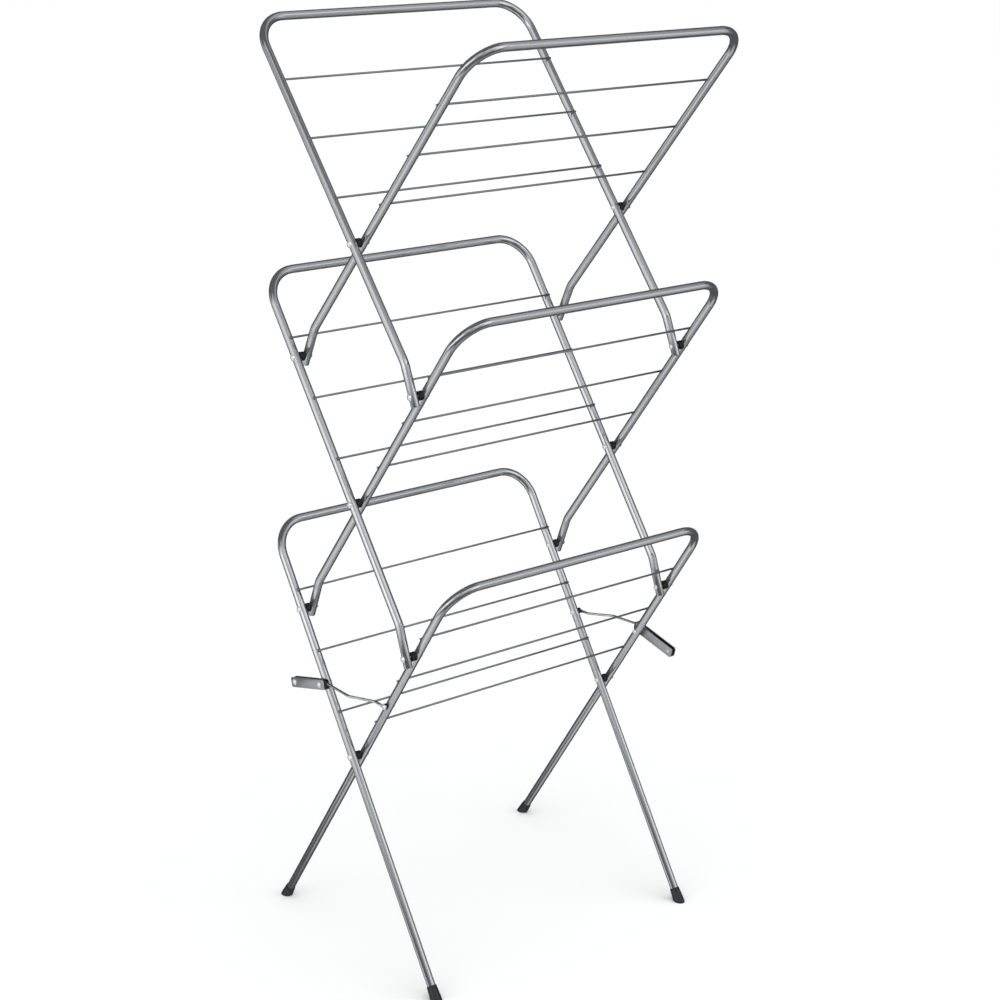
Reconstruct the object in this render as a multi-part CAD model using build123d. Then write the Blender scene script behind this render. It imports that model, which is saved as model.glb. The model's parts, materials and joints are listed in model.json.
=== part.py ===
from build123d import *
import os
from math import asin, cos, degrees, radians, sin

os.makedirs("parts", exist_ok=True)

# A three-tier concertina drying rack, standing open and locked, in millimetres and degrees.
# Frame: +X runs along the drying wires, +Y is the depth, +Z is up. The origin is on the floor,
# under the middle of the rack. Every tier is two U-shaped tube frames that cross at a rivet on
# each side: frame a leans back (towards +Y) as it rises, frame b leans forward. The rack is the
# same when turned half a turn about Z, so each b part is an a part turned that way.

# ---- driving dimensions -------------------------------------------------------------------
leg_spacing = 510.0        # middle of the left pair of legs to the middle of the right pair
tube_od = 13.0
tube_wall = 0.9
pair_gap = 7.5             # clear gap between the two tubes of a crossing pair
corner_radius = 52.0       # centreline radius of the two bends of each U

bottom_lean = 32.8         # lean of the lowest legs from the vertical
lean_step = 3.2            # each tier leans this much more than the one below
crossing_height = 324.0    # lowest crossing rivet above the floor
link_length = 240.0        # crossing rivet to the rivet where the next tier is hinged on
arm_length = 380.0         # crossing rivet to the top bar, along the leg
kink_distance = 192.0      # crossing rivet to the bend of the legs in the two upper tiers
kink_radius = 45.0
tail_length = 15.0         # open tube end past the hinge rivet

wire_d = 3.2
wire_stations = (71.0, 170.0, 269.0)   # crossing rivet to each wire, along the leg
weld_sink = 0.6            # depth to which a wire is welded into its two tubes

cap_sole_d = 17.4          # the caps widen downwards
cap_rim_d = 15.2
cap_length = 18.0
cap_floor = 3.0            # plastic under the tube's end
cap_rise = 1.5             # height of the leg's axis where it leaves the cap at the floor

rivet_d = 5.0
rivet_play = 0.05          # radial clearance in a hole that the rivet turns in
rivet_head_d = 10.0
rivet_head_h = 2.2
shop_head_d = 8.0
shop_head_h = 1.6
spacer_d = 14.0
saddle_depth = 1.6         # how far a head or spacer reaches round the tube that it sits on
moving_gap = 0.3           # clearance to a tube that turns past a flat face

# ---- the lock: an over-centre lever and link rod on the lowest tier --------------------------
lever_station = 120.0      # crossing rivet to the lever's pivot, along its leg
lever_reach = 67.0         # lever pivot to the link rod's rivet
lever_dip = 14.4           # the locked lever slopes down by this from the level
lever_gap = 0.6            # between the tube and the lever
channel_width = 8.8
channel_height = 16.0
channel_wall = 1.2
channel_corner = 3.5
channel_back = 17.0        # length past the pivot, towards the rack
channel_front = 8.0        # length past the link rod's rivet
liner_wall = 0.9
sleeve_d = 8.6
sleeve_play = 0.3
rod_d = 4.0
rod_crank_start = 60.0     # distances from the anchor rivet over which the rod steps outwards
rod_crank_end = 23.0
rod_crank_radius = 12.0
rod_top_radius = 20.0
link_rivet_d = 4.0
link_eye_d = 9.6
lever_eye_thick = 3.4      # the rod's end is flattened to this at the lever
link_eye_thick = 2.2       # and to this at the anchor
link_spacer_thick = 2.5
anchor_head_d = 9.0
anchor_head_h = 2.1

# ---- derived places -------------------------------------------------------------------------
tube_r = tube_od / 2
tube_pitch = tube_od + pair_gap
outer_x = leg_spacing / 2 + tube_pitch / 2     # axis of the outer tube of a pair
inner_x = leg_spacing / 2 - tube_pitch / 2     # axis of the inner tube of a pair
leans = [bottom_lean + lean_step * tier for tier in range(3)]
TIERS = ("base", "middle", "top")
SIDES = {"left": -1, "right": 1}


def toward(frame, angle):
    """Unit vector (y, z) up a leg of frame a or b that leans by angle from the vertical."""
    sign = 1 if frame == "a" else -1
    return Vector(0, sign * sin(radians(angle)), cos(radians(angle)))


def crossing(tier):
    """Point of the crossing rivets of a tier, on the plane X = 0."""
    height = crossing_height
    for below in range(tier):
        height += 2 * link_length * cos(radians(leans[below]))
    return Vector(0, 0, height)


def foot_pivot(frame, tier):
    """Point where the leg of an upper tier's frame is riveted to the tier below."""
    return crossing(tier) - toward(frame, leans[tier - 1]) * link_length


def leg_x(frame, side):
    """X of a leg's axis: frame a is outside on the left and inside on the right."""
    outside = (frame == "a") == (side == "left")
    return SIDES[side] * (outer_x if outside else inner_x)


def low_end(frame, tier):
    """Points of a leg below the crossing, from its end upwards."""
    along = toward(frame, leans[tier])
    if tier == 0:
        axis_length = (crossing_height - cap_rise) / cos(radians(bottom_lean))
        return [crossing(0) - along * (axis_length - cap_floor)]
    kink = crossing(tier) - along * kink_distance
    pivot = foot_pivot(frame, tier)
    down = (pivot - kink).normalized()
    return [pivot + down * tail_length, kink]


def wire_place(frame, tier, station):
    """Axis point of a wire, on the side of the leg that faces up into the V of its tier."""
    along = toward(frame, leans[tier])
    outward = toward("b" if frame == "a" else "a", 90 - leans[tier])
    return crossing(tier) + along * station + outward * (tube_r + wire_d / 2 - weld_sink)


# ---- shapes -------------------------------------------------------------------------------
def peg(x0, x1, radius, place):
    """Round bar along X from x0 to x1 through a point of the YZ plane."""
    bar = Rot(0, 90, 0) * Cylinder(radius, abs(x1 - x0))
    return Pos((x0 + x1) / 2, place.Y, place.Z) * bar


def dome(x, way, radius, height, place):
    """Domed head on the plane X = x, bulging along +X (way 1) or -X (way -1)."""
    ball = (radius ** 2 + height ** 2) / (2 * height)
    blank = Pos(0, 0, height - ball) * Sphere(ball)
    keep = Pos(0, 0, height / 2) * Box(3 * radius, 3 * radius, height)
    return Pos(x, place.Y, place.Z) * Rot(0, 90 * way, 0) * (blank & keep)


def tube_along(x, place, direction, length=60.0):
    """Solid bar of the tube's outside diameter, for fitting a saddle to a leg."""
    start = Vector(x, place.Y, place.Z) - direction * (length / 2)
    return Solid.make_cylinder(tube_r, length, Plane(origin=start, z_dir=direction))


def swept(points, radii, section):
    """A section carried along straight runs joined by tangent arcs."""
    path = FilletPolyline(*points, radius=radii)
    start = Plane(origin=path @ 0, z_dir=path % 0)
    return sweep(start * section, path=path)


def u_frame(tier):
    """Frame a of a tier: one tube up the left leg, across the top bar and down the right."""
    legs = {}
    for side in SIDES:
        x = leg_x("a", side)
        top = crossing(tier) + toward("a", leans[tier]) * arm_length
        legs[side] = [Vector(x, p.Y, p.Z) for p in low_end("a", tier) + [top]]
    points = legs["left"] + legs["right"][::-1]
    if tier == 0:
        radii = [corner_radius] * 2
    else:
        radii = [kink_radius, corner_radius, corner_radius, kink_radius]
    ring = Circle(tube_r) - Circle(tube_r - tube_wall)
    tube = swept(points, radii, ring)
    for hole in rivet_holes(tier):
        tube -= hole
    for station in wire_stations:
        tube -= wire(tier, station)
    return tube


def rivet_holes(tier):
    """Holes through both legs of frame a, one bar across the whole rack for each height."""
    reach = outer_x + tube_od
    radius = rivet_d / 2 + rivet_play
    places = [crossing(tier)]
    if tier > 0:
        places.append(foot_pivot("a", tier))
    if tier < 2:
        places.append(crossing(tier) + toward("a", leans[tier]) * link_length)
    holes = [peg(-reach, reach, radius, place) for place in places]
    if tier == 0:
        lock = crossing(0) + toward("a", bottom_lean) * lever_station
        holes.append(peg(-reach, 0, radius, lock))
        holes.append(peg(0, reach, link_rivet_d / 2 + rivet_play, lock))
    return holes


def wire(tier, station):
    """Drying wire of frame a, from the outer side of one leg to the outer side of the other."""
    place = wire_place("a", tier, station)
    return peg(leg_x("a", "left") - tube_r, leg_x("a", "right") + tube_r, wire_d / 2, place)


def foot_cap(side):
    """Plastic cap on a foot of frame a, cut level where it stands on the floor."""
    up = toward("a", bottom_lean)
    end = low_end("a", 0)[0]
    seat = Plane(origin=Vector(leg_x("a", side), end.Y, end.Z), z_dir=up)
    below = cap_floor + cap_sole_d
    cup = seat * Pos(0, 0, cap_length / 2) * Cone(cap_sole_d / 2, cap_rim_d / 2, cap_length)
    cup += seat * Pos(0, 0, -below / 2) * Cylinder(cap_sole_d / 2, below)
    cup = fillet(cup.edges().filter_by(GeomType.CIRCLE).sort_by(Axis.Z)[-1], 0.8)
    cup -= seat * Pos(0, 0, cap_length) * Cylinder(tube_r, 2 * cap_length)
    floor = Pos(leg_x("a", side), end.Y, -100) * Box(200, 200, 200)
    return cup - floor


def rivet(frame, side, place, direction):
    """Rivet through a crossing pair, held by the given frame; its heads hug that frame's tube."""
    way = SIDES[side]
    owner = abs(leg_x(frame, side))
    head_seat = outer_x + tube_r
    shop_seat = inner_x - tube_r
    hugging = tube_along(way * owner, place, direction)
    if owner == outer_x:
        head_base = head_seat - saddle_depth
        shop_base = shop_seat - moving_gap
    else:
        head_base = head_seat + moving_gap
        shop_base = shop_seat + saddle_depth
    head_top = max(head_seat, head_base)
    shop_top = min(shop_seat, shop_base)
    body = dome(way * head_top, way, rivet_head_d / 2, rivet_head_h, place)
    body += dome(way * shop_top, -way, shop_head_d / 2, shop_head_h, place)
    if owner == outer_x:
        body += peg(way * head_base, way * head_top, rivet_head_d / 2, place) - hugging
    else:
        body += peg(way * shop_top, way * shop_base, shop_head_d / 2, place) - hugging
    return body + peg(way * shop_top, way * head_top, rivet_d / 2, place)


def spacer(frame, side, place, direction):
    """Plastic bush between the two tubes, saddled on the given frame's tube."""
    way = SIDES[side]
    owner = abs(leg_x(frame, side))
    if owner == outer_x:
        saddle = outer_x - tube_r + saddle_depth
        flat = inner_x + tube_r + moving_gap
    else:
        saddle = inner_x + tube_r - saddle_depth
        flat = outer_x - tube_r - moving_gap
    bush = peg(way * saddle, way * flat, spacer_d / 2, place)
    rim = bush.edges().filter_by(GeomType.CIRCLE).sort_by(Axis.X)
    bush = fillet(rim[-1 if way * flat > way * saddle else 0], 0.8)
    bush -= tube_along(way * owner, place, direction)
    return bush - peg(way * 200, way * 300, rivet_d / 2 + rivet_play, place)


# ---- the left lock, on the outer side of the left legs of the lowest tier ----------------------
lever_pivot = crossing(0) + toward("a", bottom_lean) * lever_station
anchor = crossing(0) + toward("b", bottom_lean) * lever_station
lever_turn = Rot(-lever_dip, 0, 0)
rod_rivet = lever_pivot + Vector(0, cos(radians(lever_dip)), -sin(radians(lever_dip))) * lever_reach
lever_inner = -(outer_x + tube_r + lever_gap)
lever_outer = lever_inner - channel_width
lever_mid = (lever_inner + lever_outer) / 2
anchor_face = -(inner_x + tube_r)
spacer_face = anchor_face - moving_gap
eye_face = spacer_face - link_spacer_thick
head_face = eye_face - link_eye_thick
eye_mid = (eye_face + head_face) / 2


def channel_block(width, inset, floor):
    """Upright slab of the lever's outline, less an inset, standing a floor above its bottom."""
    length = channel_back + lever_reach + channel_front - 2 * inset
    height = channel_height - floor
    slab = Rectangle(length, height)
    slab = fillet(slab.vertices(), channel_corner - inset)
    slab = Plane.YZ * Pos((lever_reach + channel_front - channel_back) / 2, floor / 2) * slab
    block = extrude(slab, amount=width / 2, both=True)
    return Pos(lever_mid, lever_pivot.Y, lever_pivot.Z) * lever_turn * block


def slot_block(width, floor):
    """Open-topped, open-ended space between the walls of the lever."""
    slot = Box(width, 4 * lever_reach, channel_height)
    return Pos(lever_mid, lever_pivot.Y, lever_pivot.Z) * lever_turn * Pos(0, 0, floor) * slot


def lever_holes():
    """Holes for the lever's pivot rivet and for the rivet of the link rod."""
    pivot = peg(lever_outer - 5, lever_inner + 5, rivet_d / 2 + rivet_play, lever_pivot)
    return pivot + peg(lever_outer - 5, lever_inner + 5, link_rivet_d / 2 + rivet_play, rod_rivet)


def lock_lever():
    """Folded steel channel, open along its top and at both ends."""
    body = channel_block(channel_width, 0, 0)
    body -= slot_block(channel_width - 2 * channel_wall, channel_wall)
    return body - lever_holes()


def lever_liner():
    """Black plastic lining of the channel, with the running slot for the link rod."""
    width = channel_width - 2 * channel_wall
    body = channel_block(width, 0.5, channel_wall)
    body -= slot_block(width - 2 * liner_wall, channel_wall + liner_wall)
    return body - lever_holes()


def lever_sleeve():
    """Sleeve on the lever's pivot; the locked link rod lies on it."""
    half = (channel_width / 2 - channel_wall - liner_wall) - sleeve_play
    ring = peg(lever_mid - half, lever_mid + half, sleeve_d / 2, lever_pivot)
    return ring - peg(lever_mid - 10, lever_mid + 10, rivet_d / 2 + rivet_play, lever_pivot)


def lever_pivot_rivet():
    """Rivet that the lever turns on, held by the leg of frame a."""
    tube_inside = -(outer_x - tube_r)
    head = lever_outer - moving_gap
    body = dome(head, -1, rivet_head_d / 2, rivet_head_h, lever_pivot)
    shop = peg(tube_inside - saddle_depth, tube_inside, shop_head_d / 2, lever_pivot)
    body += shop - tube_along(-outer_x, lever_pivot, toward("a", bottom_lean))
    body += dome(tube_inside, 1, shop_head_d / 2, shop_head_h, lever_pivot)
    return body + peg(head, tube_inside, rivet_d / 2, lever_pivot)


def lever_end_rivet():
    """Rivet through the lever and the eye of the link rod, flush on the tube's side."""
    head = dome(lever_outer, -1, rivet_head_d / 2, rivet_head_h, rod_rivet)
    return head + peg(lever_outer, lever_inner, link_rivet_d / 2, rod_rivet)


def over_sleeve(start, way):
    """Unit vector from start that just clears the top of the lever's sleeve."""
    centre = lever_pivot - start
    clear = sleeve_d / 2 + rod_d / 2 + sleeve_play
    turn = way * degrees(asin(clear / centre.length))
    return centre.normalized().rotate(Axis.X, turn)


def link_rod():
    """Round rod from the lever's end over the sleeve to the other leg, with a sideways step."""
    from_lever = over_sleeve(rod_rivet, -1)
    from_anchor = over_sleeve(anchor, 1)
    span = rod_rivet - anchor
    skew = from_anchor.Y * from_lever.Z - from_anchor.Z * from_lever.Y
    top_distance = (span.Y * from_lever.Z - span.Z * from_lever.Y) / skew
    route = [
        rod_rivet + Vector(lever_mid, 0, 0),
        anchor + from_anchor * top_distance + Vector(lever_mid, 0, 0),
        anchor + from_anchor * rod_crank_start + Vector(lever_mid, 0, 0),
        anchor + from_anchor * rod_crank_end + Vector(eye_mid, 0, 0),
        anchor + Vector(eye_mid, 0, 0),
    ]
    rod = swept(route, [rod_top_radius, rod_crank_radius, rod_crank_radius], Circle(rod_d / 2))
    eyes = {
        rod_rivet: (lever_mid + lever_eye_thick / 2, lever_mid - lever_eye_thick / 2),
        anchor: (eye_face, head_face),
    }
    for place, (inner, outer) in eyes.items():
        rod -= peg(inner, inner + rod_d, link_eye_d / 2 + rod_d / 2, place)
        rod -= peg(outer, outer - rod_d, link_eye_d / 2 + rod_d / 2, place)
        rod += peg(inner, outer, link_eye_d / 2, place)
        rod -= peg(-400, 0, link_rivet_d / 2 + rivet_play, place)
    return rod


def link_spacer():
    """Black bush between the leg of frame b and the eye of the link rod."""
    ring = peg(spacer_face, eye_face, link_eye_d / 2, anchor)
    return ring - peg(-400, 0, link_rivet_d / 2 + rivet_play, anchor)


def link_rivet():
    """Head and neck of the anchor rivet, on the link rod's side of the opened pivot."""
    head = dome(head_face, -1, anchor_head_d / 2, anchor_head_h, anchor)
    return head + peg(head_face, spacer_face, link_rivet_d / 2, anchor)


def link_anchor():
    """The anchor rivet's shank in the leg of frame b, with its head on the inner side."""
    inside = -(inner_x - tube_r)
    shop = peg(inside - saddle_depth, inside, shop_head_d / 2, anchor)
    body = shop - tube_along(-inner_x, anchor, toward("b", bottom_lean))
    body += dome(inside, 1, shop_head_d / 2, shop_head_h, anchor)
    return body + peg(anchor_face, inside, link_rivet_d / 2, anchor)


# ---- the pieces -----------------------------------------------------------------------------
def half_turned(shape):
    """The same piece on the other half of the rack."""
    return Rot(0, 0, 180) * shape


def write(name, shape):
    """One STEP file for one named piece or group of identical fasteners."""
    shape.label = name
    export_step(shape, f"parts/{name}.step")


def pivot_pair(make, frame, place, direction):
    """The left and the right one of a fastener at one height of the rack."""
    return [make(frame, side, place, direction) for side in SIDES]


for tier, tier_name in enumerate(TIERS):
    frame_a = u_frame(tier)
    write(f"{tier_name}_frame_a", frame_a)
    write(f"{tier_name}_frame_b", half_turned(frame_a))
    for number, station in enumerate(wire_stations, start=1):
        write(f"{tier_name}_wire_a{number}", wire(tier, station))
        write(f"{tier_name}_wire_b{number}", half_turned(wire(tier, station)))

OTHER_SIDE = {"left": "right", "right": "left"}
for side in SIDES:
    cap = foot_cap(side)
    write(f"foot_cap_a_{side}", cap)
    write(f"foot_cap_b_{OTHER_SIDE[side]}", half_turned(cap))

# Which frame holds the rivets and spacers of each pivot: name, holding frame, its tier, place.
pivots = [
    ("base_crossing", "a", 0, crossing(0)),
    ("middle_foot_b", "a", 0, foot_pivot("b", 1)),
    ("middle_foot_a", "b", 0, foot_pivot("a", 1)),
    ("middle_crossing", "a", 1, crossing(1)),
    ("top_foot_b", "a", 1, foot_pivot("b", 2)),
    ("top_foot_a", "b", 1, foot_pivot("a", 2)),
    ("top_crossing", "a", 2, crossing(2)),
]
rivets = {}
for pivot_name, frame, tier, place in pivots:
    direction = toward(frame, leans[tier])
    bushes = pivot_pair(spacer, frame, place, direction)
    write(f"{pivot_name}_spacers", Compound(children=bushes))
    holder = f"{TIERS[tier]}_frame_{frame}_rivets"
    rivets.setdefault(holder, []).extend(pivot_pair(rivet, frame, place, direction))
for holder, group in rivets.items():
    write(holder, Compound(children=group))

lock_pieces = {
    "lock_lever": lock_lever,
    "lever_liner": lever_liner,
    "lever_sleeve": lever_sleeve,
    "lever_pivot_rivet": lever_pivot_rivet,
    "lever_end_rivet": lever_end_rivet,
    "link_rod": link_rod,
    "link_spacer": link_spacer,
    "link_rivet": link_rivet,
    "link_anchor": link_anchor,
}
for name, make in lock_pieces.items():
    piece = make()
    write(f"{name}_left", piece)
    write(f"{name}_right", half_turned(piece))

print("top bar height", round(crossing(2).Z + arm_length * cos(radians(leans[2])) + tube_r, 1))
print("lever rivet to anchor rivet", round((rod_rivet - anchor).length, 3))
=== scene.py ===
import bmesh
import bpy
import json
import math
from mathutils import Matrix, Vector


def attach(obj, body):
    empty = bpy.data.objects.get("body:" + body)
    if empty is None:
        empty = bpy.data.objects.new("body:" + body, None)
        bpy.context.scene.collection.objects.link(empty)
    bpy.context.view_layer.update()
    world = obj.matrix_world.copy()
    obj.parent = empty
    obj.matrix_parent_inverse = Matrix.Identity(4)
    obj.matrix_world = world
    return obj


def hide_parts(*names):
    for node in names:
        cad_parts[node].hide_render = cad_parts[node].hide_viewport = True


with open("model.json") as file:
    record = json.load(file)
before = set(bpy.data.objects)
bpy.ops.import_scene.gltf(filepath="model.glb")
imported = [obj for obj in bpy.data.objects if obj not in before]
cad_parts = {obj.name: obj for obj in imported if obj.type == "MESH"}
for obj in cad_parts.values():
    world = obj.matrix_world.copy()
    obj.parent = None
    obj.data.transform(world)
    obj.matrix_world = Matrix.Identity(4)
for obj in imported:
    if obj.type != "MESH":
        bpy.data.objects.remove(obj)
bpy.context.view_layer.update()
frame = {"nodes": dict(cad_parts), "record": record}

# A three-tier concertina drying rack, in metres, standing open on the floor.
# Frame a of each tier leans back (+Y) as it rises, and frame b leans forward.
# Each b piece is its a piece turned half a turn about Z.

MM = 0.001

# ---- sizes of the rack -------------------------------------------------------------------
OUTER_X = 265.25 * MM          # axis of the outer tube of a crossing pair
INNER_X = 244.75 * MM          # axis of the inner tube
TUBE_R = 6.5 * MM
TUBE_WALL = 0.9 * MM
CORNER_R = 52 * MM
KINK_R = 45 * MM
LEANS = [math.radians(a) for a in (32.8, 36.0, 39.2)]
LINK = 240 * MM
ARM = 380 * MM
KINK_FROM_PIVOT = 192 * MM
TAIL = 15 * MM
FIRST_PIVOT = 324 * MM
AXIS_AT_FLOOR = 1.5 * MM
CAP_FLOOR = 3 * MM
CAP_LENGTH = 18 * MM
CAP_RIM_R = 7.6 * MM
CAP_SOLE_R = 8.7 * MM
SOLE_Z = 0.1 * MM              # the level at which the soles are cut
WIRE_PLACES = [71 * MM, 170 * MM, 269 * MM]
WIRE_OFF = 7.5 * MM            # wire axis to leg axis
WIRE_SHORT = 3.5 * MM          # each wire end stops this short of the tube's outer side
TIERS = ("base", "middle", "top")

PIVOT_Z = [FIRST_PIVOT]
for lower in (0, 1):
    PIVOT_Z.append(PIVOT_Z[-1] + 2 * LINK * math.cos(LEANS[lower]))

HALF_TURN = Matrix.Rotation(math.pi, 4, "Z")


def up_leg(angle, letter="a"):
    """Direction up a leg of frame a or b."""
    way = 1 if letter == "a" else -1
    return Vector((0, way * math.sin(angle), math.cos(angle)))


def pivot(tier):
    """Crossing rivets of a tier, on the plane X = 0."""
    return Vector((0, 0, PIVOT_Z[tier]))


def at_x(x, point):
    return Vector((x, point.y, point.z))


def foot_rivet(tier, letter="a"):
    """Rivet that hinges an upper frame's leg on the tier below."""
    return pivot(tier) - up_leg(LEANS[tier - 1], letter) * LINK


# ---- shop work ---------------------------------------------------------------------------
def all_off():
    """Nothing selected, object mode."""
    if bpy.context.object and bpy.context.object.mode != "OBJECT":
        bpy.ops.object.mode_set(mode="OBJECT")
    bpy.ops.object.select_all(action="DESELECT")


def pick(piece):
    all_off()
    piece.select_set(True)
    bpy.context.view_layer.objects.active = piece


def settle(piece):
    """Places stay in the mesh, and the object goes to the origin."""
    pick(piece)
    bpy.ops.object.transform_apply(location=True, rotation=True, scale=True)
    return piece


def facing(direction):
    """Turn that points a primitive's own Z along a direction."""
    return Vector(direction).to_track_quat("Z", "Y").to_euler()


def ring(name, centre, direction, radius, sides=32, fill="NOTHING"):
    """A round outline, left open in edit mode and selected, ready to be drawn out."""
    all_off()
    bpy.ops.mesh.primitive_circle_add(
        vertices=sides, radius=radius, fill_type=fill, location=centre, rotation=facing(direction))
    piece = bpy.context.object
    piece.name = name
    piece.data.name = name
    settle(piece)
    bpy.ops.object.mode_set(mode="EDIT")
    bpy.ops.mesh.select_mode(type="VERT")
    bpy.ops.mesh.select_all(action="SELECT")
    return piece


def draw_out(step):
    """The selected outline is pulled along a straight run."""
    bpy.ops.mesh.extrude_region_move(TRANSFORM_OT_translate={"value": tuple(step)})


def widen(centre, factor):
    """The selected outline grows or shrinks about a centre."""
    bpy.ops.transform.resize(value=(factor, factor, factor), center_override=tuple(centre))


def bend(centre, axis, angle, steps):
    """The selected outline is turned round an axis, as over a bending die."""
    bpy.ops.mesh.spin(steps=steps, angle=angle, center=tuple(centre), axis=tuple(axis))


def stop_ends():
    """Flat faces over every open end."""
    bpy.ops.mesh.select_all(action="SELECT")
    bpy.ops.mesh.fill_holes(sides=0)


def out_of_edit(piece):
    """Doubles merged, all faces turned outwards, back in object mode."""
    bpy.ops.mesh.select_all(action="SELECT")
    bpy.ops.mesh.remove_doubles(threshold=1e-6)
    bpy.ops.mesh.normals_make_consistent(inside=False)
    bpy.ops.object.mode_set(mode="OBJECT")
    return piece


def smooth(piece, angle=35):
    pick(piece)
    bpy.ops.object.shade_smooth_by_angle(angle=math.radians(angle))
    return piece


def modify(piece, kind, **values):
    """One modifier, added and applied."""
    pick(piece)
    step = piece.modifiers.new(kind.lower(), kind)
    for name, value in values.items():
        setattr(step, name, value)
    bpy.ops.object.modifier_apply(modifier=step.name)
    return piece


def copied(piece, name, turn=None):
    """A copy with its own mesh, moved in the mesh."""
    twin = piece.copy()
    twin.data = piece.data.copy()
    twin.name = name
    twin.data.name = name
    bpy.context.collection.objects.link(twin)
    if turn is not None:
        twin.data.transform(turn)
    return twin


def joined(pieces, name):
    all_off()
    for piece in pieces:
        piece.select_set(True)
    bpy.context.view_layer.objects.active = pieces[0]
    bpy.ops.object.join()
    whole = bpy.context.object
    whole.name = name
    whole.data.name = name
    return whole


def bent_run(points, radii, start_sides=32, radius=TUBE_R, name="tube"):
    """Round bar drawn along straight runs with a bend at each corner."""
    away = (points[1] - points[0]).normalized()
    piece = ring(name, points[0], away, radius, start_sides)
    here = points[0]
    for corner, after, bend_r in zip(points[1:-1], points[2:], radii):
        ahead = (corner - here).normalized()
        leaving = (after - corner).normalized()
        turn = ahead.angle(leaving)
        set_back = bend_r * math.tan(turn / 2)
        axis = ahead.cross(leaving).normalized()
        start = corner - ahead * set_back
        centre = start + axis.cross(ahead) * bend_r
        draw_out(start - here)
        bend(centre, axis, -turn, max(4, round(math.degrees(turn) / 5)))
        here = corner + leaving * set_back
    draw_out(points[-1] - here)
    return piece


# ---- finishes ----------------------------------------------------------------------------
def finish_of(name, colour, metallic, roughness, **sockets):
    """A new material with its shader's constant values on the shader itself."""
    material = bpy.data.materials.new(name)
    material.use_nodes = True
    shader = material.node_tree.nodes["Principled BSDF"]
    shader.inputs["Base Color"].default_value = (*colour, 1)
    shader.inputs["Metallic"].default_value = metallic
    shader.inputs["Roughness"].default_value = roughness
    for socket, value in sockets.items():
        shader.inputs[socket.replace("_", " ")].default_value = value
    return material


def noise(material, scale, detail=4, stretch=(1, 1, 1), rough=0.5):
    """Noise over the piece's own coordinates, in metres."""
    nodes = material.node_tree.nodes
    links = material.node_tree.links
    place = nodes.new("ShaderNodeTexCoord")
    spread = nodes.new("ShaderNodeMapping")
    spread.inputs["Scale"].default_value = stretch
    grain = nodes.new("ShaderNodeTexNoise")
    grain.inputs["Scale"].default_value = scale
    grain.inputs["Detail"].default_value = detail
    grain.inputs["Roughness"].default_value = rough
    links.new(place.outputs["Object"], spread.inputs["Vector"])
    links.new(spread.outputs["Vector"], grain.inputs["Vector"])
    return grain.outputs["Fac"]


def ramp(material, source, low, high, colours):
    """The source between low and high, spread over two colours."""
    step = material.node_tree.nodes.new("ShaderNodeValToRGB")
    step.color_ramp.elements[0].position = low
    step.color_ramp.elements[1].position = high
    step.color_ramp.elements[0].color = (*colours[0], 1)
    step.color_ramp.elements[1].color = (*colours[1], 1)
    material.node_tree.links.new(source, step.inputs["Fac"])
    return step.outputs["Color"]


def spread(material, source, low, high):
    """The source from 0..1 to low..high."""
    step = material.node_tree.nodes.new("ShaderNodeMapRange")
    step.inputs["To Min"].default_value = low
    step.inputs["To Max"].default_value = high
    material.node_tree.links.new(source, step.inputs["Value"])
    return step.outputs["Result"]


def feed(material, source, socket):
    shader = material.node_tree.nodes["Principled BSDF"]
    material.node_tree.links.new(source, shader.inputs[socket])


def relief(material, heights):
    """Bumps of the given heights, one on top of the other."""
    last = None
    for source, distance, strength in heights:
        bump = material.node_tree.nodes.new("ShaderNodeBump")
        bump.inputs["Strength"].default_value = strength
        bump.inputs["Distance"].default_value = distance
        material.node_tree.links.new(source, bump.inputs["Height"])
        if last is not None:
            material.node_tree.links.new(last, bump.inputs["Normal"])
        last = bump.outputs["Normal"]
    feed(material, last, "Normal")


def silver_coat(name, dark, light, rough_low, rough_high):
    """Silver-grey baked coat: fine metal flake under a smooth, faintly wavy skin."""
    coat = finish_of(name, light, 0.9, rough_low)
    flake = noise(coat, 5200, detail=2)
    cloud = noise(coat, 38, detail=5, rough=0.6)
    feed(coat, ramp(coat, flake, 0.3, 0.7, (dark, light)), "Base Color")
    feed(coat, spread(coat, cloud, rough_low, rough_high), "Roughness")
    wave = noise(coat, 420, detail=2)
    relief(coat, [(wave, 0.00006, 0.1), (flake, 0.00001, 0.12)])
    return coat


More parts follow.
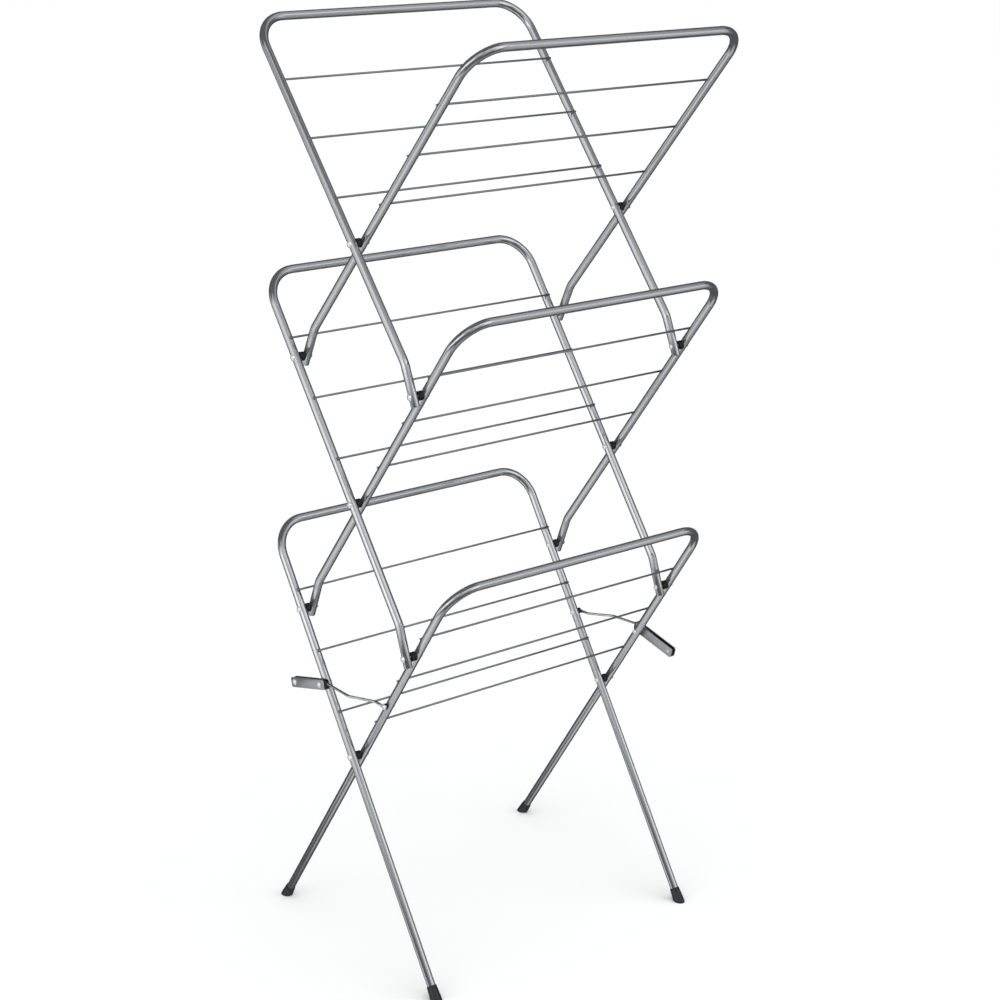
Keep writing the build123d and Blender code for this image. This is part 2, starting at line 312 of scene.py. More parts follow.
def make_finishes():
    tube = silver_coat("silver_coat_on_tube", (0.42, 0.425, 0.44), (0.60, 0.605, 0.62), 0.08, 0.15)
    wire = silver_coat("grey_coat_on_wire", (0.25, 0.255, 0.265), (0.36, 0.365, 0.38), 0.28, 0.4)
    sheet = silver_coat("silver_coat_on_sheet", (0.40, 0.405, 0.42), (0.54, 0.545, 0.56), 0.3, 0.4)

    zinc = finish_of("bright_zinc", (0.86, 0.86, 0.87), 0.6, 0.3)
    patch = noise(zinc, 900, detail=4)
    feed(zinc, ramp(zinc, patch, 0.3, 0.75, ((0.74, 0.745, 0.76), (0.9, 0.9, 0.9))), "Base Color")
    feed(zinc, spread(zinc, patch, 0.22, 0.38), "Roughness")
    relief(zinc, [(patch, 0.00004, 0.2)])

    drawn = finish_of("drawn_rod_zinc", (0.66, 0.67, 0.69), 1.0, 0.26)
    lines = noise(drawn, 1400, detail=3, stretch=(0.06, 0.06, 1))
    streaks = ((0.56, 0.565, 0.58), (0.74, 0.745, 0.76))
    feed(drawn, ramp(drawn, lines, 0.3, 0.7, streaks), "Base Color")
    feed(drawn, spread(drawn, lines, 0.2, 0.34), "Roughness")
    relief(drawn, [(lines, 0.00003, 0.25)])

    moulded = finish_of("moulded_black", (0.02, 0.02, 0.022), 0.0, 0.42, Specular_IOR_Level=0.3)
    grain = noise(moulded, 2600, detail=3)
    blacks = ((0.005, 0.005, 0.006), (0.016, 0.016, 0.018))
    feed(moulded, ramp(moulded, grain, 0.25, 0.8, blacks), "Base Color")
    feed(moulded, spread(moulded, grain, 0.36, 0.5), "Roughness")
    relief(moulded, [(grain, 0.00004, 0.35)])

    cap = finish_of("black_cap_plastic", (0.025, 0.025, 0.028), 0.0, 0.3, Specular_IOR_Level=0.4)
    skin = noise(cap, 1900, detail=3)
    cap_blacks = ((0.006, 0.006, 0.007), (0.022, 0.022, 0.025))
    feed(cap, ramp(cap, skin, 0.25, 0.8, cap_blacks), "Base Color")
    feed(cap, spread(cap, skin, 0.24, 0.4), "Roughness")
    relief(cap, [(skin, 0.00005, 0.3)])
    return {"painted_tube": tube, "coated_wire": wire, "bright_rivet": zinc, "rod_steel": drawn,
            "lever_steel": sheet, "black_bush": moulded, "black_cap": cap}


FINISH = make_finishes()


def hand_in(piece, body, slot, *nodes, finish=None):
    """A finished piece gets its coat and its place on a body."""
    piece.data.materials.clear()
    piece.data.materials.append(finish or FINISH[slot])
    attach(piece, body)
    if nodes:
        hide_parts(*nodes)
    return piece


def both_frames(piece, tier_name, stem, slot, replaced=None):
    """A piece of frame a, and its half-turned twin on frame b."""
    twin = copied(piece, stem.format("b"), HALF_TURN)
    piece.name = stem.format("a")
    for letter, one in (("a", piece), ("b", twin)):
        node = [] if replaced is None else [replaced.format(letter)]
        hand_in(one, f"{tier_name}_{letter}", slot, *node)
    return piece, twin


# ---- tube frames ---------------------------------------------------------------------------
def frame_points(tier):
    """Corners of frame a: up the left leg, over the bar, down the right leg."""
    legs = []
    lean = LEANS[tier]
    along = up_leg(lean)
    for x in (-OUTER_X, INNER_X):
        if tier == 0:
            reach = (FIRST_PIVOT - AXIS_AT_FLOOR) / math.cos(lean) - CAP_FLOOR
            low = [pivot(0) - along * reach]
        else:
            kink = pivot(tier) - along * KINK_FROM_PIVOT
            hinge = foot_rivet(tier)
            low = [hinge + (hinge - kink).normalized() * TAIL, kink]
        legs.append([at_x(x, p) for p in low + [pivot(tier) + along * ARM]])
    return legs[0] + legs[1][::-1]


def tube_frame(tier):
    radii = [CORNER_R] * 2 if tier == 0 else [KINK_R, CORNER_R, CORNER_R, KINK_R]
    tube = bent_run(frame_points(tier), radii, 40, TUBE_R, f"{TIERS[tier]}_tube")
    out_of_edit(tube)
    modify(tube, "SOLIDIFY", thickness=TUBE_WALL, offset=-1, use_even_offset=True)
    modify(tube, "BEVEL", width=0.2 * MM, segments=2, limit_method="ANGLE",
           angle_limit=math.radians(50))
    return smooth(tube, 30)


def tube_frames():
    for tier, tier_name in enumerate(TIERS):
        both_frames(tube_frame(tier), tier_name, f"{tier_name}_tube_{{}}", "painted_tube",
                    f"{tier_name}_frame_{{}}")


# ---- turned and drawn small parts ----------------------------------------------------------
def turned(name, foot, way, profile, sides=32):
    """A part turned about a line along X: each (distance out, radius) is one step of it."""
    out, radius = profile[0]
    at = foot + Vector((way * out, 0, 0))
    piece = ring(name, at, (way, 0, 0), radius, sides, "NGON")
    for step, wide in profile[1:]:
        draw_out((way * (step - out), 0, 0))
        at = foot + Vector((way * step, 0, 0))
        widen(at, wide / radius)
        out, radius = step, wide
    return out_of_edit(piece)


def dome(start, radius, height, steps=7):
    """Profile of a domed head that begins at start, up to its middle."""
    ball = (radius ** 2 + height ** 2) / (2 * height)
    widest = math.asin(radius / ball)
    places = []
    for count in range(1, steps + 1):
        angle = widest * (1 - count / steps)
        places.append((start + ball * math.cos(angle) - ball + height, ball * math.sin(angle)))
    return places


def head(name, seat, way, radius, height, skirt, place):
    """Domed rivet head on the plane X = seat, its skirt reaching round the tube below it."""
    edge = 0.3 * MM
    profile = [(-skirt, radius), (edge, radius)] + dome(edge, radius, height - edge)
    return turned(name, at_x(seat, place), way, profile, 36)


def shank(name, x0, x1, radius, place):
    way = 1 if x1 > x0 else -1
    return turned(name, at_x(x0, place), way, [(0, radius), (abs(x1 - x0), radius)], 20)


RIVET_R, RIVET_HEAD_R, RIVET_HEAD_H = 2.5 * MM, 5 * MM, 2.2 * MM
SHOP_HEAD_R, SHOP_HEAD_H = 4 * MM, 1.6 * MM
SADDLE = 1.6 * MM
GAP = 0.3 * MM


def held_outside(letter, way):
    """Whether frame a or b holds the outer tube on that side."""
    return (letter == "a") == (way < 0)


def pair_rivet(letter, way, place):
    """Rivet of a crossing pair: big head outside, small closed head inside."""
    outer = held_outside(letter, way)
    head_at = way * (OUTER_X + TUBE_R + (0 if outer else GAP))
    shop_at = way * (INNER_X - TUBE_R - (GAP if outer else 0))
    parts = [
        head("head", head_at, way, RIVET_HEAD_R, RIVET_HEAD_H, SADDLE if outer else 0, place),
        head("closed_head", shop_at, -way, SHOP_HEAD_R, SHOP_HEAD_H, 0 if outer else SADDLE, place),
        shank("shank", shop_at, head_at, RIVET_R, place),
    ]
    return joined(parts, "rivet")


def pair_spacer(letter, way, place):
    """Moulded bush between two tubes: two flanges with a waist, saddled on the tube it sits on."""
    outer = held_outside(letter, way)
    start = way * (OUTER_X - TUBE_R) if outer else way * (INNER_X + TUBE_R)
    toward = -way if outer else way
    long = OUTER_X - INNER_X - 2 * TUBE_R - GAP
    profile = [
        (-SADDLE, 7.0), (1.9 * MM, 7.0), (2.3 * MM, 6.7), (2.6 * MM, 6.25), (4.2 * MM, 6.25),
        (4.5 * MM, 6.7), (4.9 * MM, 7.0), (long - 0.8 * MM, 7.0), (long - 0.24 * MM, 6.77),
        (long, 6.2), (long, 3.4), (long - 0.4 * MM, 2.6),
    ]
    profile = [(step, wide * MM) for step, wide in profile]
    return turned("spacer", at_x(start, place), toward, profile, 40)


# pivot, frame that holds it, its tier
PIVOTS = [
    ("base_crossing", "a", 0, pivot(0)),
    ("middle_foot_b", "a", 0, foot_rivet(1, "b")),
    ("middle_foot_a", "b", 0, foot_rivet(1, "a")),
    ("middle_crossing", "a", 1, pivot(1)),
    ("top_foot_b", "a", 1, foot_rivet(2, "b")),
    ("top_foot_a", "b", 1, foot_rivet(2, "a")),
    ("top_crossing", "a", 2, pivot(2)),
]


def pivots():
    groups = {}
    for name, letter, tier, place in PIVOTS:
        body = f"{TIERS[tier]}_{letter}"
        bushes = [smooth(pair_spacer(letter, way, place), 30) for way in (-1, 1)]
        hand_in(joined(bushes, f"{name}_bushes"), body, "black_bush", f"{name}_spacers")
        groups.setdefault((body, f"{TIERS[tier]}_frame_{letter}_rivets"), []).extend(
            smooth(pair_rivet(letter, way, place), 30) for way in (-1, 1))
    for (body, node), rivets in groups.items():
        hand_in(joined(rivets, f"{body}_rivet_set"), body, "bright_rivet", node)


# ---- wires and their welds -------------------------------------------------------------------
def drying_wire(tier, place):
    """One wire of frame a, welded into both legs on the side that faces up into the V."""
    lean = LEANS[tier]
    normal = up_leg(math.pi / 2 - lean, "b")
    middle = pivot(tier) + up_leg(lean) * place + normal * WIRE_OFF
    start = -OUTER_X - TUBE_R + WIRE_SHORT
    long = OUTER_X + INNER_X + 2 * TUBE_R - 2 * WIRE_SHORT
    end = long / MM
    profile = [(0, 1.15), (0.12, 1.4), (0.45, 1.6),
               (end - 0.45, 1.6), (end - 0.12, 1.4), (end, 1.15)]
    bar = turned("wire", at_x(start, middle), 1, [(o * MM, r * MM) for o, r in profile], 20)
    parts = [bar]
    for x in (-OUTER_X, INNER_X):
        foot = at_x(x, middle - normal * (WIRE_OFF - TUBE_R))
        parts.append(bead_at(foot, normal))
    return smooth(joined(parts, "wire"), 40)


def bead_at(surface, normal):
    """Weld bead that swells out of the tube's surface round the wire."""
    base = surface - normal * 1.1 * MM
    bead = ring("weld", base, normal, 3.2 * MM, 16, "NGON")
    wide = 3.2
    # rise, new radius and lean to one side of each step, in mm
    steps = ((0.9, 3.0, 0.12), (0.55, 2.5, -0.1), (0.4, 1.8, 0.1), (0.2, 0.9, 0))
    for rise, radius, aside in steps:
        draw_out(normal * rise * MM + Vector((aside * MM, 0, 0)))
        base = base + normal * rise * MM + Vector((aside * MM, 0, 0))
        widen(base, radius / wide)
        wide = radius
    return out_of_edit(bead)


def wires():
    for tier, tier_name in enumerate(TIERS):
        for number, place in enumerate(WIRE_PLACES, start=1):
            both_frames(drying_wire(tier, place), tier_name, f"{tier_name}_rail_{{}}{number}",
                        "coated_wire", f"{tier_name}_wire_{{}}{number}")


# ---- foot caps -------------------------------------------------------------------------------
def foot_cap(x):
    """Moulded cap on a foot of frame a: rolled rim, shallow ring, sole cut level."""
    up = up_leg(LEANS[0])
    reach = (FIRST_PIVOT - AXIS_AT_FLOOR) / math.cos(LEANS[0]) - CAP_FLOOR
    end = at_x(x, pivot(0) - up * reach)
    taper = (CAP_SOLE_R - CAP_RIM_R) / CAP_LENGTH
    top = CAP_LENGTH

    def side(station):
        return CAP_SOLE_R - taper * station

    # height up the leg and radius: up the inside of the cup, over its rim, down its outside
    steps = [
        (0, TUBE_R), (top - 1.5 * MM, TUBE_R),
        (top - 0.1 * MM, TUBE_R + 0.12 * MM), (top, TUBE_R + 0.45 * MM),
        (top - 0.12 * MM, CAP_RIM_R - 0.3 * MM), (top - 0.5 * MM, CAP_RIM_R - 0.02 * MM),
        (14.4 * MM, side(14.4 * MM)), (14.1 * MM, side(14.1 * MM) - 0.32 * MM),
        (13.4 * MM, side(13.4 * MM) - 0.32 * MM), (13.1 * MM, side(13.1 * MM)),
        (0, CAP_SOLE_R), (-20 * MM, CAP_SOLE_R),
    ]
    station, radius = steps[0]
    cap = ring("cap", end + up * station, up, radius, 48, "NGON")
    for height, wide in steps[1:]:
        draw_out(up * (height - station))
        widen(end + up * height, wide / radius)
        station, radius = height, wide
    bpy.ops.mesh.select_all(action="SELECT")
    bpy.ops.mesh.bisect(
        plane_co=(0, 0, SOLE_Z), plane_no=(0, 0, 1), use_fill=True, clear_inner=True)
    round_edges(cap, lambda p, q: max(p.z, q.z) < 1.2 * SOLE_Z, 0.7 * MM, 3)
    out_of_edit(cap)
    return smooth(cap, 35)


def foot_caps():
    turned_side = {"left": "right", "right": "left"}
    for side, x in (("left", -OUTER_X), ("right", INNER_X)):
        cap = foot_cap(x)
        twin = copied(cap, f"shoe_b_{turned_side[side]}", HALF_TURN)
        cap.name = f"shoe_a_{side}"
        hand_in(cap, "base_a", "black_cap", f"foot_cap_a_{side}")
        hand_in(twin, "base_b", "black_cap", f"foot_cap_b_{turned_side[side]}")


# ---- the lock: lever and link rod ----------------------------------------------------------
LEVER_REACH = 67 * MM
LEVER_DIP = math.radians(14.4)
CHANNEL_W, CHANNEL_H, CHANNEL_WALL = 8.8 * MM, 16 * MM, 1.2 * MM
CHANNEL_BACK, CHANNEL_FRONT, CHANNEL_CORNER = 17 * MM, 8 * MM, 3.5 * MM
LINER_WALL = 0.9 * MM
PAST_BACK, PAST_FRONT, PAST_TOP = -40 * MM, 120 * MM, 20 * MM    # clear of the lever
STEEL_BACK = 13 * MM           # the lining stands out behind the steel
LEVER_INNER = -(OUTER_X + TUBE_R + 0.6 * MM)
LEVER_OUTER = LEVER_INNER - CHANNEL_W
LEVER_MID = (LEVER_INNER + LEVER_OUTER) / 2
LEVER_PIVOT = pivot(0) + up_leg(LEANS[0]) * 120 * MM
ANCHOR = pivot(0) + up_leg(LEANS[0], "b") * 120 * MM
ROD_RIVET = LEVER_PIVOT + Vector((0, math.cos(LEVER_DIP), -math.sin(LEVER_DIP))) * LEVER_REACH
LEVER_PLACE = Matrix.Translation(at_x(LEVER_MID, LEVER_PIVOT)) @ Matrix.Rotation(-LEVER_DIP, 4, "X")
ROD_R, LINK_RIVET_R, EYE_R, SLEEVE_R = 2 * MM, 2 * MM, 4.8 * MM, 4.3 * MM
BUSH_FACE = -(INNER_X + TUBE_R + GAP)
EYE_FACE = BUSH_FACE - 2.5 * MM
ANCHOR_EYE = EYE_FACE - 2.2 * MM


def block(name, low, high):
    """A block between two corners, left in edit mode."""
    all_off()
    bpy.ops.mesh.primitive_cube_add(size=1)
    piece = bpy.context.object
    piece.name = name
    piece.data.name = name
    low, high = Vector(low), Vector(high)
    piece.location = (low + high) / 2
    piece.scale = high - low
    settle(piece)
    bpy.ops.object.mode_set(mode="EDIT")
    return piece


def round_edges(piece, wanted, width, steps):
    """The edges whose two ends pass the test are rounded."""
    bpy.ops.mesh.select_mode(type="EDGE")
    bpy.ops.mesh.select_all(action="DESELECT")
    shape = bmesh.from_edit_mesh(piece.data)
    for edge in shape.edges:
        edge.select = wanted(*(v.co for v in edge.verts))
    bmesh.update_edit_mesh(piece.data)
    bpy.ops.mesh.bevel(offset=width, segments=steps, affect="EDGES")


def across(one, other):
    """An edge that runs along X."""
    return abs(one.x - other.x) > 1 * MM


def lengthwise(one, other):
    """An edge that runs along the lever."""
    return abs(one.y - other.y) > 20 * MM


def cut(piece, cutter):
    """The cutter's shape is taken out of the piece."""
    modify(piece, "BOOLEAN", object=cutter, operation="DIFFERENCE", solver="EXACT")
    bpy.data.objects.remove(cutter)
    return piece


def lever_shape(name, width, inset, bottom, back):
    """Slab of the lever's outline seen from the side, in the lever's own frame."""
    low = (-width / 2, inset - back, bottom)
    high = (width / 2, LEVER_REACH + CHANNEL_FRONT - inset, CHANNEL_H / 2 - inset)
    piece = block(name, low, high)
    round_edges(piece, across, CHANNEL_CORNER - inset, 8)
    return piece


def folded_lever():
    """Channel folded from sheet, open along its top and at its ends, with rounded folds."""
    lever = lever_shape("lever", CHANNEL_W, 0, -CHANNEL_H / 2, STEEL_BACK)
    low = -CHANNEL_H / 2 + 0.01 * MM
    round_edges(lever, lambda p, q: max(p.z, q.z) < low and lengthwise(p, q), 1.9 * MM, 5)
    out_of_edit(lever)
    room_x = CHANNEL_W / 2 - CHANNEL_WALL
    low_corner = (-room_x, PAST_BACK, -CHANNEL_H / 2 + CHANNEL_WALL)
    inside = block("slot", low_corner, (room_x, PAST_FRONT, PAST_TOP))
    round_edges(inside, lambda p, q: max(p.z, q.z) < 0 and lengthwise(p, q), 0.8 * MM, 3)
    out_of_edit(inside)
    cut(lever, inside)
    modify(lever, "BEVEL", width=0.22 * MM, segments=2, limit_method="ANGLE",
           angle_limit=math.radians(50))
    lever.data.transform(LEVER_PLACE)
    return smooth(lever, 30)


def black_liner_and_painted_shade():
    """Black lining with a running slot, closed low at its ends; its black is also painted shade
    inside the channel.
    """
    width = CHANNEL_W - 2 * CHANNEL_WALL
    floor_z = -CHANNEL_H / 2 + CHANNEL_WALL
    liner = lever_shape("liner", width, 0.3 * MM, floor_z, CHANNEL_BACK)
    out_of_edit(liner)
    slot_x = width / 2 - LINER_WALL
    front = LEVER_REACH + CHANNEL_FRONT
    cuts = [
        ((-slot_x, -13.5 * MM, floor_z + LINER_WALL), (slot_x, front - 1.9 * MM, PAST_TOP)),
        ((-slot_x, PAST_BACK, -1.2 * MM), (slot_x, 0, PAST_TOP)),
        ((-slot_x, front - 10 * MM, 0.2 * MM), (slot_x, PAST_FRONT, PAST_TOP)),
    ]
    for low, high in cuts:
        cut(liner, out_of_edit(block("slot", low, high)))
    modify(liner, "BEVEL", width=0.2 * MM, segments=2, limit_method="ANGLE",
           angle_limit=math.radians(50))
    liner.data.transform(LEVER_PLACE)
    return smooth(liner, 30)


def sleeve():
    half = CHANNEL_W / 2 - CHANNEL_WALL - LINER_WALL - 0.3 * MM
    profile = [(0, SLEEVE_R - 0.4 * MM), (0.12 * MM, SLEEVE_R - 0.12 * MM), (0.4 * MM, SLEEVE_R),
               (2 * half - 0.4 * MM, SLEEVE_R), (2 * half - 0.12 * MM, SLEEVE_R - 0.12 * MM),
               (2 * half, SLEEVE_R - 0.4 * MM)]
    return smooth(turned("sleeve", at_x(LEVER_MID - half, LEVER_PIVOT), 1, profile, 32), 40)


def lever_turning_rivet():
    """Rivet the lever turns on, fixed in the leg."""
    tube_face = -(OUTER_X - TUBE_R)
    seat = LEVER_OUTER - GAP
    parts = [
        head("head", seat, -1, RIVET_HEAD_R, RIVET_HEAD_H, 0, LEVER_PIVOT),
        shank("shank", seat, tube_face, RIVET_R, LEVER_PIVOT),
        head("closed_head", tube_face, 1, SHOP_HEAD_R, SHOP_HEAD_H, SADDLE, LEVER_PIVOT),
    ]
    return smooth(joined(parts, "lever_turning_rivet"), 30)


def lever_eye_rivet():
    """Rivet through the lever and the rod's eye, hammered flush on the tube's side."""
    wide = LINK_RIVET_R
    flush = [(0, wide), (CHANNEL_W, wide), (CHANNEL_W + 0.02 * MM, wide + 0.35 * MM),
             (CHANNEL_W + 0.12 * MM, wide + 0.25 * MM), (CHANNEL_W + 0.2 * MM, wide - 0.3 * MM),
             (CHANNEL_W + 0.12 * MM, wide - 0.9 * MM), (CHANNEL_W + 0.08 * MM, wide - 1.5 * MM)]
    parts = [
        head("head", LEVER_OUTER, -1, RIVET_HEAD_R, RIVET_HEAD_H, 0, ROD_RIVET),
        turned("shank", at_x(LEVER_OUTER, ROD_RIVET), 1, flush, 32),
    ]
    return smooth(joined(parts, "lever_eye_rivet"), 30)


def over_sleeve(start, way):
    """Direction from start that just clears the top of the sleeve."""
    toward = LEVER_PIVOT - start
    clear = SLEEVE_R + ROD_R + 0.3 * MM
    return Matrix.Rotation(way * math.asin(clear / toward.length), 3, "X") @ toward.normalized()


def eye(name, place, inner, outer):
    """Flattened round eye with a rolled edge, between two planes of X."""
    thick = inner - outer
    rolled = [(0, 0.55), (0.1, 0.25), (0.35, 0.04)]
    near = [(out * MM, EYE_R - less * MM) for out, less in rolled]
    far = [(thick - out * MM, EYE_R - less * MM) for out, less in rolled[::-1]]
    profile = near + [(thick / 2, EYE_R)] + far
    return turned(name, at_x(outer, place), 1, profile, 36)


def flattened_end(route, thick):
    """Short length from a round end into a flat eye; route runs towards the eye."""
    ahead = (route[1] - route[0]).normalized()
    end = ring("flat_end", route[0], ahead, ROD_R, 24)
    here = route[0]
    whole = (route[1] - route[0]).length
    flat, wide = 1.0, 1.0
    for share in (0.2, 0.4, 0.6, 0.8, 1.0):
        step = route[0] + ahead * whole * share
        draw_out(step - here)
        ease = share * share * (3 - 2 * share)
        new_flat = 1 + (thick / (2 * ROD_R) - 1) * ease
        new_wide = 1 + 0.42 * ease
        bpy.ops.transform.resize(value=(new_flat / flat, new_wide / wide, new_wide / wide),
                                 center_override=tuple(step))
        here, flat, wide = step, new_flat, new_wide
    draw_out(ahead * 3 * MM)
    stop_ends()
    return out_of_edit(end)


def link_rod():
    """Round rod with two flattened eyes, stepped sideways near the anchor."""
    from_lever = over_sleeve(ROD_RIVET, -1)
    from_anchor = over_sleeve(ANCHOR, 1)
    span = ROD_RIVET - ANCHOR
    skew = from_anchor.y * from_lever.z - from_anchor.z * from_lever.y
    top = (span.y * from_lever.z - span.z * from_lever.y) / skew
    anchor_x = (EYE_FACE + ANCHOR_EYE) / 2
    route = [
        at_x(LEVER_MID, ROD_RIVET + from_lever * 11 * MM),
        at_x(LEVER_MID, ANCHOR + from_anchor * top),
        at_x(LEVER_MID, ANCHOR + from_anchor * 60 * MM),
        at_x(anchor_x, ANCHOR + from_anchor * 23 * MM),
        at_x(anchor_x, ANCHOR + from_anchor * 12 * MM),
    ]
    bar = bent_run(route, [20 * MM, 12 * MM, 12 * MM], 24, ROD_R, "rod_bar")
    stop_ends()
    out_of_edit(bar)
    lever_eye = (LEVER_MID + 1.7 * MM, LEVER_MID - 1.7 * MM)
    parts = [
        bar,
        flattened_end([route[0], at_x(LEVER_MID, ROD_RIVET + from_lever * 5 * MM)], 3.4 * MM),
        flattened_end([route[-1], at_x(anchor_x, ANCHOR + from_anchor * 5 * MM)], 2.2 * MM),
        eye("lever_eye", ROD_RIVET, *lever_eye),
        eye("anchor_eye", ANCHOR, EYE_FACE, ANCHOR_EYE),
    ]
    return smooth(joined(parts, "coupling_rod"), 40)


def anchor_bush():
    long = BUSH_FACE - EYE_FACE
    rolled = [(0, 0.4), (0.12, 0.1), (0.4, 0)]
    near = [(out * MM, EYE_R - less * MM) for out, less in rolled]
    far = [(long - out * MM, EYE_R - less * MM) for out, less in rolled[::-1]]
    profile = near + far
    return smooth(turned("anchor_bush", at_x(BUSH_FACE, ANCHOR), -1, profile, 36), 30)


def anchor_head():
    parts = [
        head("head", ANCHOR_EYE, -1, 4.5 * MM, 2.1 * MM, 0, ANCHOR),
        shank("neck", ANCHOR_EYE, BUSH_FACE, LINK_RIVET_R, ANCHOR),
    ]
    return smooth(joined(parts, "anchor_head"), 30)


def anchor_shank():
    inside = -(INNER_X - TUBE_R)
    parts = [
        head("closed_head", inside, 1, SHOP_HEAD_R, SHOP_HEAD_H, SADDLE, ANCHOR),
        shank("shank", -(INNER_X + TUBE_R), inside, LINK_RIVET_R, ANCHOR),
    ]
    return smooth(joined(parts, "anchor_shank"), 30)


def locks():
    """Left lock, and its half-turned twin on the right."""
    pieces = [
        (folded_lever(), "lever_{}", "lock_lever_{}", "lever_steel"),
        # the black lining also serves as painted shade inside the channel
        (black_liner_and_painted_shade(), "lever_{}", "lever_liner_{}", "black_bush"),
        (sleeve(), "lever_{}", "lever_sleeve_{}", "bright_rivet"),
        (lever_eye_rivet(), "lever_{}", "lever_end_rivet_{}", "bright_rivet"),
        (link_rod(), "link_{}", "link_rod_{}", "rod_steel"),
        (anchor_bush(), "link_{}", "link_spacer_{}", "black_bush"),
        (anchor_head(), "link_{}", "link_rivet_{}", "bright_rivet"),
        (lever_turning_rivet(), ("base_a", "base_b"), "lever_pivot_rivet_{}", "bright_rivet"),
        (anchor_shank(), ("base_b", "base_a"), "link_anchor_{}", "bright_rivet"),
    ]
    for piece, bodies, node, slot in pieces:
        stem = piece.name
        twin = copied(piece, f"{stem}_right", HALF_TURN)
        piece.name = f"{stem}_left"
        for side, body_of, one in (("left", 0, piece), ("right", 1, twin)):
            body = bodies.format(side) if isinstance(bodies, str) else bodies[body_of]
            hand_in(one, body, slot, node.format(side))


# ---- the room ------------------------------------------------------------------------------
def lobe(nodes, links, direction, reach, colour):
    """A soft patch of light in one direction of the room: its colour fades out at reach."""
    place = nodes.new("ShaderNodeTexCoord")
    aim = nodes.new("ShaderNodeVectorMath")
    aim.operation = "DOT_PRODUCT"
    aim.inputs[1].default_value = Vector(direction).normalized()
    links.new(place.outputs["Generated"], aim.inputs[0])
    fade = nodes.new("ShaderNodeMapRange")
    fade.interpolation_type = "SMOOTHSTEP"
    fade.inputs["From Min"].default_value = math.cos(math.radians(reach[1]))
    fade.inputs["From Max"].default_value = math.cos(math.radians(reach[0]))
    links.new(aim.outputs["Value"], fade.inputs["Value"])
    tint = nodes.new("ShaderNodeVectorMath")
    tint.operation = "SCALE"
    tint.inputs[0].default_value = colour
    links.new(fade.outputs["Result"], tint.inputs["Scale"])
    return tint.outputs["Vector"]


def room():
    """A dim grey room with soft patches of light, seen white by the camera."""
    world = bpy.data.worlds.new("studio")
    bpy.context.scene.world = world
    world.use_nodes = True
    nodes = world.node_tree.nodes
    links = world.node_tree.links
    nodes.clear()
    total = None
    for direction, power in ROOM_LIGHT:
        patch = lobe(nodes, links, direction, PATCH, Vector(ROOM_TINT) * power)
        if total is None:
            total = patch
            continue
        both = nodes.new("ShaderNodeVectorMath")
        both.operation = "ADD"
        links.new(total, both.inputs[0])
        links.new(patch, both.inputs[1])
        total = both.outputs["Vector"]
    base = nodes.new("ShaderNodeVectorMath")
    base.operation = "ADD"
    base.inputs[1].default_value = Vector(ROOM_TINT) * ROOM_BASE
    links.new(total, base.inputs[0])
    lit = nodes.new("ShaderNodeBackground")
    links.new(base.outputs["Vector"], lit.inputs["Color"])
    plain = nodes.new("ShaderNodeBackground")
    plain.inputs["Color"].default_value = (1, 1, 1, 1)
    plain.inputs["Strength"].default_value = 1.0
    path = nodes.new("ShaderNodeLightPath")
    mix = nodes.new("ShaderNodeMixShader")
    links.new(path.outputs["Is Camera Ray"], mix.inputs["Fac"])
    links.new(lit.outputs[0], mix.inputs[1])
    links.new(plain.outputs[0], mix.inputs[2])
    out = nodes.new("ShaderNodeOutputWorld")
    links.new(mix.outputs[0], out.inputs["Surface"])


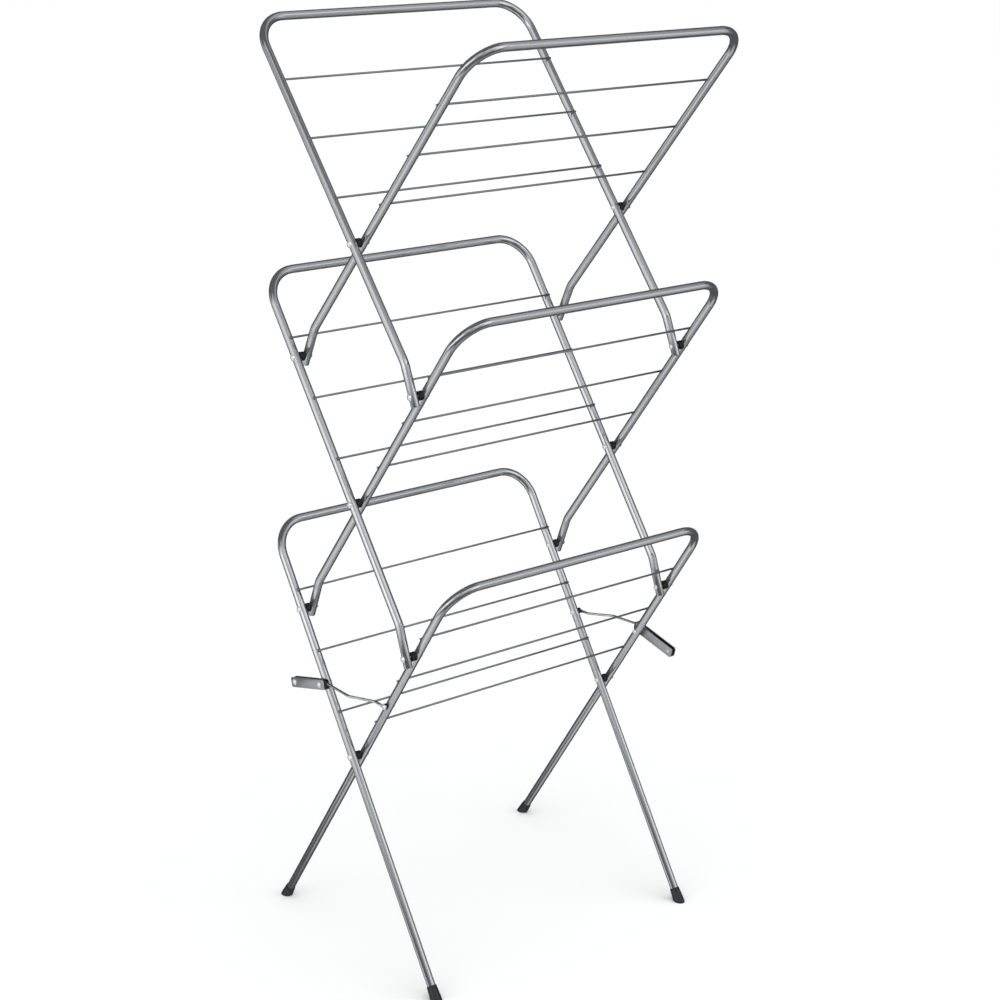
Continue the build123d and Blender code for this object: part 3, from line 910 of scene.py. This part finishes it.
# direction and brightness of each soft patch of light round the room
PATCH = (3, 19)                # half-widths of its full and of its faded part, in degrees
ROOM_TINT = (0.97, 0.985, 1.0)
ROOM_BASE = 0.06
ROOM_LIGHT = [
    ((0.31, -0.94, 0.15), 1.26),
    ((-0.91, -0.18, 0.38), 1.18),
    ((-0.96, 0.29, -0.07), 1.09),
    ((-1.00, -0.06, 0.05), 1.05),
    ((0.17, -0.72, 0.67), 0.97),
    ((0.39, -0.79, 0.47), 0.82),
    ((-0.68, -0.23, 0.70), 0.80),
    ((-0.90, -0.39, 0.18), 0.80),
    ((-0.95, 0.15, 0.25), 0.79),
    ((-0.12, -0.03, -0.99), 0.75),
    ((-0.79, 0.17, -0.59), 0.72),
    ((-0.61, 0.60, -0.52), 0.69),
    ((-0.65, 0.76, 0.01), 0.66),
    ((-0.09, -0.83, 0.55), 0.59),
    ((0.60, -0.75, 0.27), 0.59),
    ((0.77, -0.63, 0.07), 0.57),
    ((-0.24, -0.95, 0.22), 0.56),
    ((-0.49, -0.61, 0.62), 0.54),
    ((-0.70, -0.26, -0.67), 0.51),
    ((-0.69, -0.66, 0.30), 0.49),
    ((-0.05, -0.57, -0.82), 0.49),
    ((-0.22, -0.63, 0.75), 0.47),
    ((-0.42, -0.27, -0.87), 0.47),
    ((0.58, -0.56, 0.59), 0.46),
    ((-0.79, 0.59, -0.19), 0.46),
    ((0.66, -0.71, -0.25), 0.45),
    ((-0.61, -0.00, -0.79), 0.45),
    ((0.19, -0.11, -0.98), 0.39),
    ((0.54, -0.04, 0.84), 0.37),
    ((0.73, -0.50, -0.45), 0.30),
    ((0.47, -0.42, -0.78), 0.29),
    ((0.64, -0.28, 0.72), 0.24),
    ((-0.56, 0.07, -0.83), 0.30),
    ((-0.66, 0.36, -0.66), 0.25),
]


def lamp(name, place, spread_angle, power):
    """Even light from one side of the room, wide enough for faint soft shadows."""
    data = bpy.data.lights.new(name, "SUN")
    data.angle = math.radians(spread_angle)
    data.energy = power
    light = bpy.data.objects.new(name, data)
    bpy.context.collection.objects.link(light)
    light.rotation_euler = (-Vector(place)).to_track_quat("-Z", "Y").to_euler()
    light.visible_glossy = False
    return light


def floor():
    all_off()
    bpy.ops.mesh.primitive_plane_add(size=60, location=(0, 0, 0))
    sheet = bpy.context.object
    sheet.name = "floor"
    pale = finish_of("pale_floor", (0.9, 0.9, 0.9), 0.0, 0.8)
    sheet.data.materials.append(pale)
    sheet.visible_glossy = False


def camera():
    yaw = math.radians(40.603)
    pitch = math.radians(-17.615)
    roll = math.radians(1.141)
    flat = math.cos(pitch)
    ahead = Vector((flat * math.sin(yaw), flat * math.cos(yaw), math.sin(pitch)))
    level = Vector((math.cos(yaw), -math.sin(yaw), 0))
    upright = level.cross(ahead)
    side = level * math.cos(roll) + upright * math.sin(roll)
    top = upright * math.cos(roll) - level * math.sin(roll)
    data = bpy.data.cameras.new("camera")
    data.sensor_width = 36
    data.lens = 81.42
    eye = bpy.data.objects.new("camera", data)
    bpy.context.collection.objects.link(eye)
    turn = Matrix((side, top, -ahead)).transposed().to_4x4()
    eye.matrix_world = Matrix.Translation((-2.161, -2.544, 1.744)) @ turn
    bpy.context.scene.camera = eye


# ---- everything --------------------------------------------------------------------------
room()
camera()
floor()
lamp("overhead", (-0.4, -0.5, 2), 120, 2.85)
bpy.context.scene.view_settings.view_transform = "Standard"

slot_of = {}
for entry in frame["record"]["subparts"]:
    slot_of[entry["node"]] = entry["material_slot"]
for name, node in frame["nodes"].items():
    for holder in node.material_slots:
        holder.material = FINISH[slot_of[name]]

tube_frames()
pivots()
wires()
foot_caps()
locks()

all_off()
